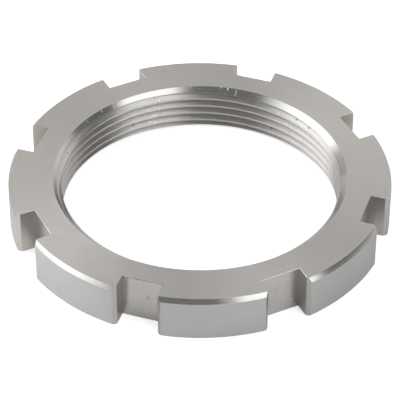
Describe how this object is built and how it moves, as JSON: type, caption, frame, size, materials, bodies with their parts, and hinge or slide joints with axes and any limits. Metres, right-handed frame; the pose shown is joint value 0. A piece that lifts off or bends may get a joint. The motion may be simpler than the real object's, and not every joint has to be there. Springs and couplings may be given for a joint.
{
  "type": "lock ring",
  "caption": "Round slotted nut in bright steel: a flat ring with a fine internal thread and square spanner slots milled through its rim.",
  "frame": {"origin": "centre of the bearing face underneath, on the thread's axis", "axes": "+Z along the thread's axis, from the bearing face up to the face with the wide chamfers; +Y points out through the middle of one slot"},
  "size_m": [0.0634, 0.0634, 0.008],
  "materials": {
    "steel": "bright turned faces and rim, milled slots, no plating or paint"
  },
  "bodies": {
    "root": {"lock_ring": "steel"}
  },
  "joints": []
}
